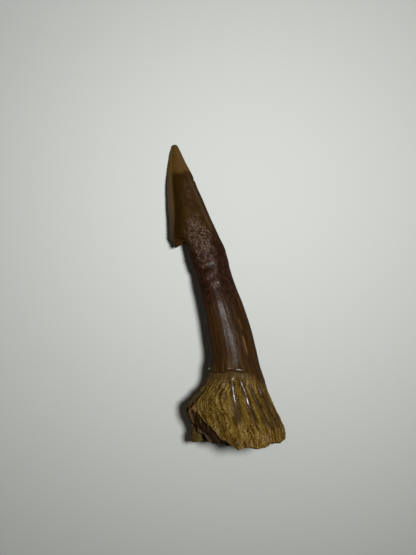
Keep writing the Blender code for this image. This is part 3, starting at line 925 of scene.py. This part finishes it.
paintStrength = {  # how strongly a mark takes its colour
    "wing": 0.9,
    "frontSheen": 0.42,
    "frontLine": 0.7,
    "bevel": 0.8,
    "tipSide": 0.6,
    "bevelGlow": 0.8,
    "scratch": 0.8,
    "flank": 0.7,
    "flange": 0.85,
    "flangeLine": 0.4,
    "collar": 0.75,
    "hollowDark": 0.85,
    "groove": 0.7,
}
grainScale = {  # per millimetre; those with three figures are stretched
    "mottle": 0.7,
    "blotches": 1.7,
    "stipple": 4.2,
    "fine": 5.0,
    "streaks": (2.6, 2.6, 0.1),
    "threads": (6.2, 6.2, 0.45),
    "strands": (0.5, 4.2, 0.8),
}
gloss = {
    "crownRoughness": 0.5,
    "rootRoughness": 0.75,
    "roughnessSpread": 0.2,
    "smootherRidge": 0.2,
    "glints": 0.75,
    "ridgeGlaze": 0.02,
    "crownGlaze": 0.053,
    "coatRoughness": 0.26,
    "coatIndex": 1.85,
    "specular": 0.02,
    "bumpStrength": 0.7,
    "bumpHeight": 0.1,
}


def crownColour(finish, place, mottle, stipple, fine, streaks, threads):
    # from the blade down to the enamel's edge
    colour = toothColours
    striated, grains, lumps = finish.mark("striated"), finish.mark("grains"), finish.mark("lumps")
    along = finish.node("SeparateXYZ", {}, {0: finish.mark("grain", "Vector")}, 2)
    sideways = finish.node("SeparateXYZ", {}, {0: place}, 1)
    blotches = finish.noise(place, grainScale["blotches"], 3.0, 0.6)
    neck = finish.blend(finish.ramp(blotches, 0.4, 0.56), colour["neckMaroon"], colour["neckDark"])
    dark = finish.ramp(mottle + (stipple - 0.5) * 0.9 + (streaks - 0.5) * 0.6, 0.4, 0.58)
    brown = finish.blend(dark * 0.75, colour["bladeBrown"], colour["bladeDark"])
    brown = finish.blend(finish.ramp(threads, 0.55, 0.68) * 0.35, brown, colour["striaPale"])
    upper = along + (mottle - 0.5) * 4 + sideways * 0.4
    crown = finish.blend(finish.ramp(upper, 30.5, 35.0), neck, brown)
    crown = finish.blend(finish.ramp(along + (streaks - 0.5) * 8, 26.0, 17.0), crown, colour["crownOlive"])
    # the grainy patch darker between its grains, with painted glints on the grain tops
    crown = finish.blend((grains - lumps) * 0.75, crown, colour["neckDark"])
    crown = finish.blend(lumps * finish.ramp(stipple, 0.38, 0.62, 0.25, 1.0), crown, colour["grainPaintedGlint"])
    lines = finish.ramp(streaks + (fine - 0.5) * 0.2, 0.48, 0.58)
    crown = finish.blend(lines * striated * 0.55, crown, colour["striaDarkAndGrooveShade"])
    crown = finish.blend(finish.ramp(streaks, 0.47, 0.38) * striated * 0.5, crown, colour["russet"])
    crown = finish.blend(finish.ramp(threads, 0.54, 0.68) * striated * 0.5, crown, colour["striaPale"])
    foot = finish.mark("foot") * finish.ramp(streaks, 0.54, 0.46)
    crown = finish.blend(foot * 0.55, crown, colour["crownAmber"])
    crown = finish.paint(crown, "wing", "bladeDark")
    # a painted sheen along the front edge
    crown = finish.paint(crown, "frontSheen", "paintedReflectionMauve")
    crown = finish.paint(crown, "frontLine", "bladeDark")
    # the bevel coloured with a painted reflection
    crown = finish.paint(crown, "bevel", "paintedReflectionMauve")
    # the tip paler where the mottle is light, and along the bevel with a painted reflection
    pale = finish.ramp(mottle, 0.4, 0.65) * 0.4 + finish.mark("bevel") * 0.4
    tip = finish.blend(pale, colour["amber"], colour["amberEdge"])
    # a painted sheen on the tip's front side
    tip = finish.paint(tip, "tipSide", "tipPaintedSheen")
    crown = finish.blend(finish.mark("amber"), crown, tip)
    # a painted glow of light through the thin translucent amber inside the bevel
    crown = finish.paint(crown, "bevelGlow", "amberEdge")
    return finish.paint(crown, "scratch", "scratch")


def rootColour(finish, mottle, stipple, streaks, threads):
    # ochre, stippled and fibrous between smooth darker ridges
    ridge, valley = (finish.mark(name) + (stipple - 0.5) * 0.9 for name in ("ridge", "valley"))
    tone = 0.52 + (streaks - 0.5) * 1.3 + (threads - 0.5) * 2.2 + (stipple - 0.5) * 1.8 + (mottle - 0.5) * 0.7
    root = finish.node("ValToRGB", {"stops": rootStops}, {0: tone})
    root = finish.blend(finish.ramp(valley, 0.2, 0.9) * 0.6, root, toothColours["valley"])
    root = finish.blend(finish.ramp(ridge, 0.2, 0.8) * 0.8, root, toothColours["ridge"])
    # painted shade along both flanks of each ridge
    root = finish.paint(root, "flank", "flank")
    # painted shade over the flange, and a painted highlight along its outer edge
    root = finish.paint(root, "flange", "flange")
    root = finish.paint(root, "flangeLine", "flangeEdgeHighlight")
    root = finish.blend(finish.mark("chips") * finish.ramp(stipple, 0.3, 0.6), root, toothColours["chip"])
    return finish.paint(root, "collar", "collar")


def hollowColour(finish, place, root, stipple, fine):
    # dark and streaky, with the root's ochre on its lump, and a pale ridge
    strands = finish.noise(finish.scaled(place, grainScale["strands"]), 1.0, 3.0, 0.6)
    inner = 0.5 + finish.mark("hollowStripe") * 0.4 + (strands - 0.5) * 3.6 + (stipple - 0.5) * 1.6
    inside = finish.node("ValToRGB", {"stops": hollowStops}, {0: inner})
    mauve = finish.mark("hollowMauve") * finish.ramp(inner, -0.1, 0.8, 0.2, 0.9)
    inside = finish.blend(mauve, inside, toothColours["hollowMauve"])
    ochre = finish.blend(finish.ramp(stipple, 0.35, 0.65), toothColours["hollowOchre"], root)
    inside = finish.blend(finish.mark("hollowLump"), inside, ochre)
    # painted shade in the pit and the groove before the pale ridge
    inside = finish.paint(inside, "hollowDark", "hollowDark")
    pale = finish.mark("hollowPale") * finish.ramp(fine, 0.35, 0.6, 0.45, 0.9)
    return finish.blend(pale, inside, toothColours["hollowPale"])


def toothFinish():
    finish = Finish("fossilEnamelAndDentine")
    place = finish.node("TexCoord", {}, {}, "Object")
    place = finish.node("Mapping", {}, {"Vector": place, "Scale": (1 / mm, 1 / mm, 1 / mm)})
    wrapped = finish.mark("grain", "Vector")
    mottle = finish.noise(place, grainScale["mottle"], 3.0)
    stipple = finish.noise(place, grainScale["stipple"], 2.0, 0.6)
    fine = finish.noise(place, grainScale["fine"])
    streaks = finish.noise(finish.scaled(wrapped, grainScale["streaks"]), 1.0, 4.0, 0.65)
    threads = finish.noise(finish.scaled(wrapped, grainScale["threads"]), 1.0, 3.0, 0.6)

    enamel, ridge = finish.mark("enamel"), finish.mark("ridge")
    crown = crownColour(finish, place, mottle, stipple, fine, streaks, threads)
    root = rootColour(finish, mottle, stipple, streaks, threads)
    root = finish.blend(finish.mark("hollow"), root, hollowColour(finish, place, root, stipple, fine))
    # painted shade in the grooves and furrows
    base = finish.paint(finish.blend(enamel, root, crown), "groove", "striaDarkAndGrooveShade")
    finish.feed(finish.shader.inputs["Base Color"], base)

    crownRough = gloss["crownRoughness"] + (fine - 0.5) * gloss["roughnessSpread"]
    rootRough = gloss["rootRoughness"] - ridge * gloss["smootherRidge"]
    rootRough = rootRough + (stipple - 0.5) * gloss["roughnessSpread"]
    finish.feed(finish.shader.inputs["Roughness"], crownRough * enamel + rootRough * (1 - enamel))
    glints = finish.mark("shine") * gloss["glints"]
    glints = glints + (ridge + finish.mark("collar")) * (1 - enamel) * gloss["ridgeGlaze"]
    glints = glints * finish.ramp(fine, 0.35, 0.62, 0.3, 1.5)
    glaze = enamel * finish.mark("skyward") * (1 - finish.mark("wing") * 0.8) * gloss["crownGlaze"]
    glaze = glaze * finish.ramp(fine, 0.35, 0.62, 0.7, 1.25)
    finish.feed(finish.shader.inputs["Coat Weight"], glints + glaze)
    finish.shader.inputs["Coat Roughness"].default_value = gloss["coatRoughness"]
    finish.shader.inputs["Coat IOR"].default_value = gloss["coatIndex"]
    finish.shader.inputs["Specular IOR Level"].default_value = gloss["specular"]
    height = stipple * (0.3 + (1 - enamel) * (1.0 - ridge * 0.8)) + streaks * finish.mark("striated") * 0.5
    height = height + fine * (0.2 + finish.mark("grains") * 0.6)
    bump = {"Strength": gloss["bumpStrength"], "Distance": gloss["bumpHeight"] * mm, "Height": height}
    finish.feed(finish.shader.inputs["Normal"], finish.node("Bump", {}, bump))
    return finish.material


print("making its finish")
mesh.materials.append(toothFinish())
rostralTooth = bpy.data.objects.new("rostralTooth", mesh)
bpy.context.scene.collection.objects.link(rostralTooth)
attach(rostralTooth, "root")
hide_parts("rostral_tooth")

# The table, the lights and the camera. Places are those of the tooth from above, in millimetres, and height.
view = {"height": 163.0, "aim": (26.98, -0.85), "lean": 11.57, "lens": 64.5, "sensor": 36.0}
lights = {
    "key": {"at": (32, -66, 200), "aim": (42, 0, 0), "size": 46, "power": 0.045, "spread": 64},
}
table = {"size": 1500, "colour": (0.78, 0.81, 0.77), "roughness": 0.7}
room = {"light": 0.035, "colour": (1, 0.93, 0.84, 1)}


def onTable(along, across, up=0.0):
    return Vector((along + planShift[0], across + planShift[1], up)) * mm


print("setting the table and the lights")
bm = bmesh.new()
bmesh.ops.create_grid(bm, x_segments=1, y_segments=1, size=table["size"] * mm / 2)
floorMesh = bpy.data.meshes.new("paleTable")
bm.to_mesh(floorMesh)
bm.free()
paper = Finish("palePaper")
paper.feed(paper.shader.inputs["Base Color"], table["colour"])
paper.feed(paper.shader.inputs["Roughness"], table["roughness"])
floorMesh.materials.append(paper.material)
paleTable = bpy.data.objects.new("paleTable", floorMesh)
bpy.context.scene.collection.objects.link(paleTable)

for name, light in lights.items():
    lamp = bpy.data.lights.new(name, "AREA")
    lamp.shape = "DISK"
    lamp.size = light["size"] * mm
    lamp.energy = light["power"]
    lamp.spread = math.radians(light["spread"])
    lampObject = bpy.data.objects.new(name, lamp)
    lampObject.location = onTable(*light["at"])
    direction = onTable(*light["aim"]) - lampObject.location
    lampObject.rotation_euler = direction.to_track_quat("-Z", "Y").to_euler()
    bpy.context.scene.collection.objects.link(lampObject)

world = bpy.data.worlds.new("softRoom")
world.use_nodes = True
world.node_tree.nodes["Background"].inputs["Color"].default_value = room["colour"]
world.node_tree.nodes["Background"].inputs["Strength"].default_value = room["light"]
bpy.context.scene.world = world
bpy.context.scene.view_settings.view_transform = "Standard"

camera = bpy.data.cameras.new("camera")
camera.lens = view["lens"]
camera.sensor_width = view["sensor"]
cameraObject = bpy.data.objects.new("camera", camera)
cameraObject.location = onTable(*view["aim"], view["height"])
cameraObject.rotation_euler = (0, 0, math.radians(-90 - view["lean"]))
bpy.context.scene.collection.objects.link(cameraObject)
bpy.context.scene.camera = cameraObject
